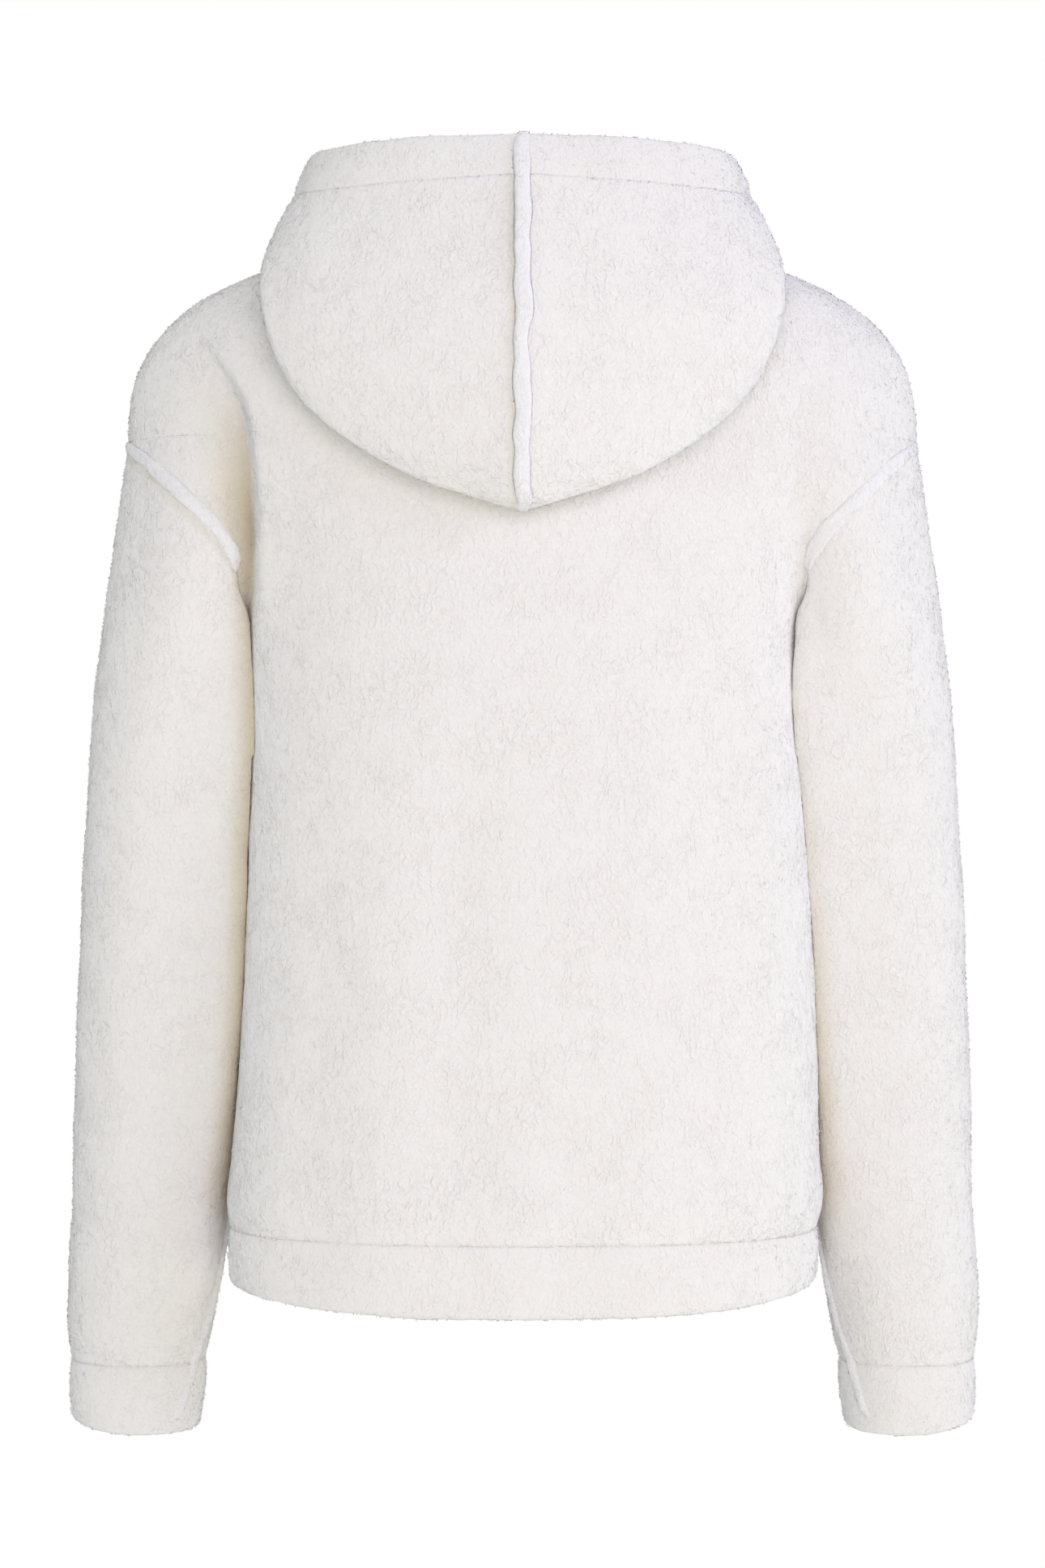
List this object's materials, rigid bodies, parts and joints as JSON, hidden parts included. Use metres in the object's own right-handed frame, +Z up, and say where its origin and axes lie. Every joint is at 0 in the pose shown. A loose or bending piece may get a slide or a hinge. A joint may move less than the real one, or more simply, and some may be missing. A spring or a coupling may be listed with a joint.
{
  "type": "hooded sherpa fleece pullover",
  "caption": "Thick sherpa fleece pullover filled out as worn, with a two-panel hood lying on the back, dropped shoulders, long sleeves and plain turned hems.",
  "frame": {"origin": "midway between the two points where the shoulder line meets the neckline, where the garment hangs on the wearer's shoulders", "axes": "+Z up, -Y towards the front of the garment, +X towards the wearer's left"},
  "size_m": [0.5444, 0.2993, 0.7465],
  "materials": {
    "fleece": "deep curly sherpa pile, matt",
    "turned_hem": "sherpa pile turned double and stitched down",
    "raised_seam": "two brushed seam allowances standing up"
  },
  "bodies": {
    "root": {"back_panel": "fleece", "front_panel": "fleece", "sleeve_left": "fleece", "sleeve_right": "fleece", "hood_left": "fleece", "hood_right": "fleece", "hem_band": "turned_hem", "cuff_left": "turned_hem", "cuff_right": "turned_hem", "hood_hem_left": "turned_hem", "hood_hem_right": "turned_hem", "hood_centre_seam": "raised_seam", "armhole_seam_left": "raised_seam", "armhole_seam_right": "raised_seam", "sleeve_seam_left": "raised_seam", "sleeve_seam_right": "raised_seam"}
  },
  "joints": []
}
